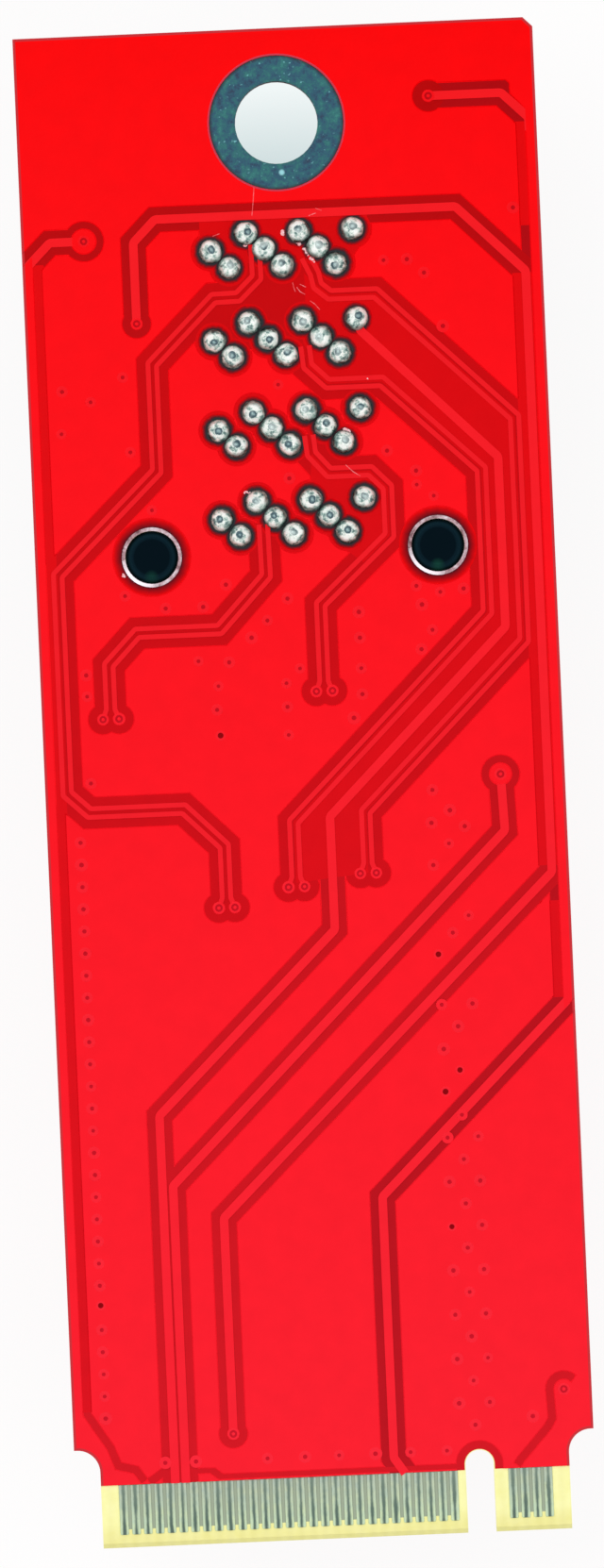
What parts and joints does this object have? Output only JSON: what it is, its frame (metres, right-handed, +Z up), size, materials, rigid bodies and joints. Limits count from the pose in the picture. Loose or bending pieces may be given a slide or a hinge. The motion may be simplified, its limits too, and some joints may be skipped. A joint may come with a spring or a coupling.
{
  "type": "nvme adapter card",
  "caption": "Narrow plug-in card with an edge connector tongue, a key notch, a screw hole, printed line pairs and a boxed cable socket soldered through it.",
  "frame": {"origin": "middle of the bounding box, at the level of the socket's mouth rim, on which the card lies", "axes": "X across the card, +Y along the card towards the screw hole, +Z up out of the solder side"},
  "size_m": [0.022, 0.064, 0.0133],
  "materials": {
    "glass_epoxy": "satin",
    "red_lacquer": "gloss",
    "plated_copper": "satin",
    "solder": "gloss",
    "contact_metal": "satin",
    "black_plastic": "satin"
  },
  "bodies": {
    "root": {"laminate": "glass_epoxy", "lacquer_solder_side": "red_lacquer", "lacquer_component_side": "red_lacquer", "screw_land_solder_side": "plated_copper", "screw_land_component_side": "plated_copper", "peg_ring_left": "plated_copper", "peg_ring_right": "plated_copper", "fingers_solder_side": "plated_copper", "fingers_component_side": "plated_copper", "socket_housing": "black_plastic", "solder_joints_row_a": "solder", "solder_joints_row_b": "solder", "solder_joints_row_c": "solder", "solder_joints_row_d": "solder", "contact_a1": "contact_metal", "contact_a2": "contact_metal", "contact_a3": "contact_metal", "contact_a4": "contact_metal", "contact_a5": "contact_metal", "contact_a6": "contact_metal", "contact_a7": "contact_metal", "contact_a8": "contact_metal", "contact_a9": "contact_metal", "contact_b1": "contact_metal", "contact_b2": "contact_metal", "contact_b3": "contact_metal", "contact_b4": "contact_metal", "contact_b5": "contact_metal", "contact_b6": "contact_metal", "contact_b7": "contact_metal", "contact_b8": "contact_metal", "contact_b9": "contact_metal", "contact_c1": "contact_metal", "contact_c2": "contact_metal", "contact_c3": "contact_metal", "contact_c4": "contact_metal", "contact_c5": "contact_metal", "contact_c6": "contact_metal", "contact_c7": "contact_metal", "contact_c8": "contact_metal", "contact_c9": "contact_metal", "contact_d1": "contact_metal", "contact_d2": "contact_metal", "contact_d3": "contact_metal", "contact_d4": "contact_metal", "contact_d5": "contact_metal", "contact_d6": "contact_metal", "contact_d7": "contact_metal", "contact_d8": "contact_metal", "contact_d9": "contact_metal"}
  },
  "joints": []
}
